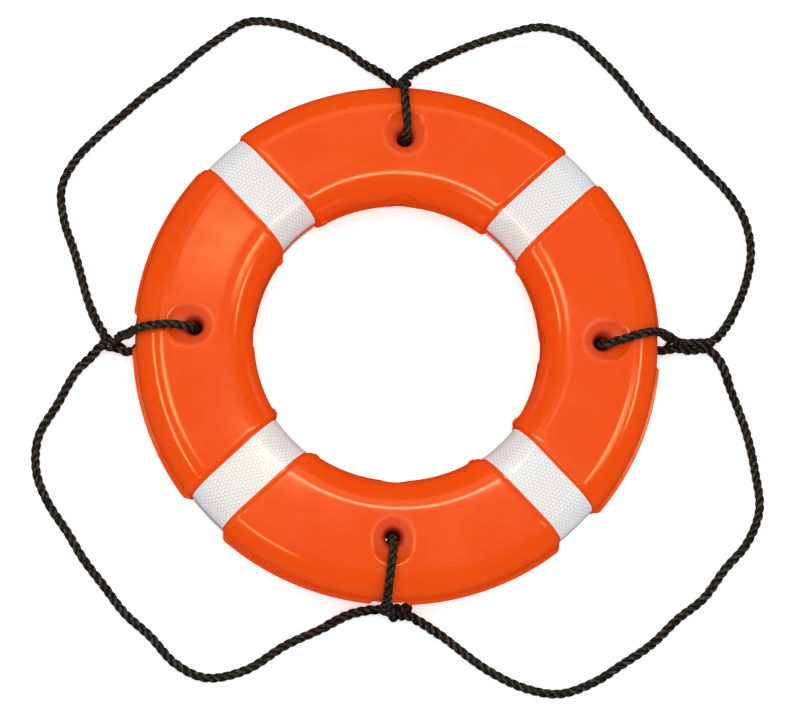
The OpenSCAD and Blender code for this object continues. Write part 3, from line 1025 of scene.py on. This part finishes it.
def tuck_strands(line, strands, where):
    """Draws the ropes of each tuck together until their strands lie in between each other."""
    radius = np.hypot(line[:, 0], line[:, 1])
    for wrap in WRAPS:
        a, b = where[wrap]
        inside = [i for i in range(a, b + 1) if radius[i] > RIM]
        if wrap == "bottom":
            inside = list(range(where["tail"][0], where["tail"][1] + 1)) + inside
        runs = runs_of(inside)
        fades, pulls = [], []
        for run in runs:
            from_start = np.arange(len(run))
            to_end = from_start[::-1]
            near_end = np.minimum(from_start, to_end)
            # The rope's own two ends are free
            if run[0] == 0:
                near_end = to_end
            if run[-1] == len(line) - 1:
                near_end = from_start
            fade = smooth_step(near_end / FADE)[:, None]
            others = np.concatenate([line[other] for other in runs if other is not run])
            to_other = others[None] - line[run][:, None]
            far = np.linalg.norm(to_other, axis=2)
            nearest = np.argmin(far, axis=1)
            each = np.arange(len(run))
            share = smooth_step((GATHER_REACH - far[each, nearest]) / GATHER_SOFT)[:, None]
            pull = evened(to_other[each, nearest] * share * GATHER / 2, 4) * fade
            fades.append(fade)
            pulls.append(pull)
        index = np.concatenate(runs)
        pull, fade = np.concatenate(pulls), np.concatenate(fades)
        sizes = np.cumsum([len(run) for run in runs])[:-1]
        start = strands[:, index] + pull
        moved = np.zeros_like(start)
        flat_index = np.tile(index, 3)
        strand = np.repeat(np.arange(3), len(index))
        apart = (strand[:, None] != strand[None]) | (
            np.abs(flat_index[:, None] - flat_index[None]) > OWN_STEPS)
        for _ in range(ROUNDS):
            at = (start + moved).reshape(-1, 3)
            gap = at[:, None] - at[None]
            distance = np.linalg.norm(gap, axis=2)
            overlap = np.where(apart, 2 * STRAND_R - distance, 0)
            worst = np.argmax(overlap, axis=1)
            each = np.arange(len(at))
            size = np.maximum(overlap[each, worst], 0) / np.maximum(distance[each, worst], 0.1)
            push = (gap[each, worst] * size[:, None] * PUSH).reshape(start.shape)
            moved = np.concatenate([evened(part, 1) for part in
                                    np.split(moved + push * fade, sizes, axis=1)], axis=1)
        strands[:, index] = start + moved
    strands[:, :, 2] = np.maximum(strands[:, :, 2], STRAND_R - SINK)
    return strands


def strand_mesh(line, out, along_mm):
    """Points, faces and corner UVs of one strand, closed at both ends."""
    t = tangents(line)
    out = out - np.sum(out * t, axis=1)[:, None] * t
    out /= np.maximum(np.linalg.norm(out, axis=1), 1e-6)[:, None]
    across = np.cross(t, out)
    n, sides = len(line), STRAND_SIDES
    points, uvs = [], []
    for i in range(n):
        for k in range(sides):
            a = 2 * math.pi * k / sides
            points.append(line[i] + STRAND_R * (math.cos(a) * out[i] + math.sin(a) * across[i]))
    for i in range(n - 1):
        for k in range(sides):
            uvs += [(along_mm[i], k / sides), (along_mm[i], (k + 1) / sides),
                    (along_mm[i + 1], (k + 1) / sides), (along_mm[i + 1], k / sides)]
    uvs += [(along_mm[0], 0.5)] * sides + [(along_mm[-1], 0.5)] * sides
    return points, tube_faces(n, sides), uvs


def rope_piece(name, rope, even, span):
    """The three strands of one stretch of the rope, as one mesh."""
    a, b = span
    points, faces, uvs = [], [], []
    for line, out in zip(*rope):
        start = len(points)
        own_points, own_faces, own_uvs = strand_mesh(line[a:b + 1], out[a:b + 1], even[a:b + 1])
        points += own_points
        faces += [tuple(start + k for k in face) for face in own_faces]
        uvs += own_uvs
    return new_mesh(name, points, faces, sharp_deg=60, uvs=uvs)


SEAL_R, SEAL_SIDES = 5.0, 18
# The sealed end's outline: distance beyond the strands' ends, and share of its radius
SEAL_OUTLINE = [(-2.4, 0.7), (-1.8, 0.97), (-0.4, 1.0), (0.7, 0.96), (1.5, 0.82), (1.9, 0.5)]


def sealed_end(name, strands, at, inner, material):
    """The melted lump that holds the three strands together at a cut end of the rope."""
    tip, before = strands[:, at].mean(axis=0), strands[:, inner].mean(axis=0)
    along = (tip - before) / np.linalg.norm(tip - before)
    side = np.cross(along, [0, 0, 1])
    side /= np.linalg.norm(side)
    across = np.cross(along, side)
    points = []
    for reach, size in SEAL_OUTLINE:
        for k in range(SEAL_SIDES):
            a = 2 * math.pi * k / SEAL_SIDES
            # Three low bulges show where the strands lie below
            r = SEAL_R * size * (1 + 0.07 * math.cos(3 * a + reach))
            points.append(tip + along * reach + r * (math.cos(a) * side + math.sin(a) * across))
    end = new_mesh(name, points, tube_faces(len(SEAL_OUTLINE), SEAL_SIDES))
    finish_piece(end, "rope", material)


def make_ropes(rope_stuff):
    line, even, where = whole_line()
    strands, outward = strands_of(line, even)
    strands = tuck_strands(line, open_lay(line, strands, outward), where)
    rope = (strands, outward)
    sealed = cut_end_material()
    sealed_end("sealed_end_tail", strands, 0, 4, sealed)
    sealed_end("sealed_end_knot", strands, len(line) - 1, len(line) - 5, sealed)
    wraps = {"right": ["rope_wrap_right", "rope_tuck_right"],
             "top": ["rope_wrap_top", "rope_tuck_top"],
             "left": ["rope_wrap_left", "rope_tuck_left"],
             "bottom": ["rope_wrap_bottom", "joining_knot"],
             "tail": ["rope_tail"]}
    for name, nodes in wraps.items():
        piece = rope_piece(f"laid_rope_{name}", rope, even, where[name])
        finish_piece(piece, "rope", rope_stuff, *nodes)
    for name in LOOPS:
        a, b = where[name]
        piece = rope_piece(f"laid_loop_{name}", rope, even, (a, b))
        piece.data.materials.append(rope_stuff)
        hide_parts(f"grab_loop_{name}")
        path = (line[a:b + 1:3] * MM).tolist()
        path.append((line[b] * MM).tolist())
        first, last = line[a], line[b]
        chord = (last - first) / np.linalg.norm(last - first)
        away = np.array([chord[1], -chord[0], 0])
        away *= np.sign(away @ (line[(a + b) // 2] - first))
        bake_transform(piece)


# ---- the object ----

add_camera()
rope_stuff = rope_material()
make_ropes(rope_stuff)

shell_stuff = shell_plastic("orange_polyethylene", ORANGE, DEEP_ORANGE, 0.14)
for shell_name, front in (("front_shell", True), ("back_shell", False)):
    shell = ShellHalf(front).build(f"moulded_{shell_name}")
    finish_piece(shell, "shell", shell_stuff, shell_name)

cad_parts["foam_core"].data.materials.clear()
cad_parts["foam_core"].data.materials.append(foam_material())

plug_stuff = shell_plastic("plug_plastic", PLUG_ORANGE, DEEP_PLUG_ORANGE, 0.35)
add_plug("fill_plug", FILL_ANGLE, FILL_D, plug_stuff)
add_plug("vent_plug", VENT_ANGLE, VENT_D, plug_stuff)

tape_stuff = tape_material()
for tape_number, band_angle in enumerate(BAND_ANGLES, 1):
    add_tape(tape_number, band_angle, tape_stuff)

add_floor()
add_lights()
bpy.context.scene.view_settings.view_transform = "Standard"
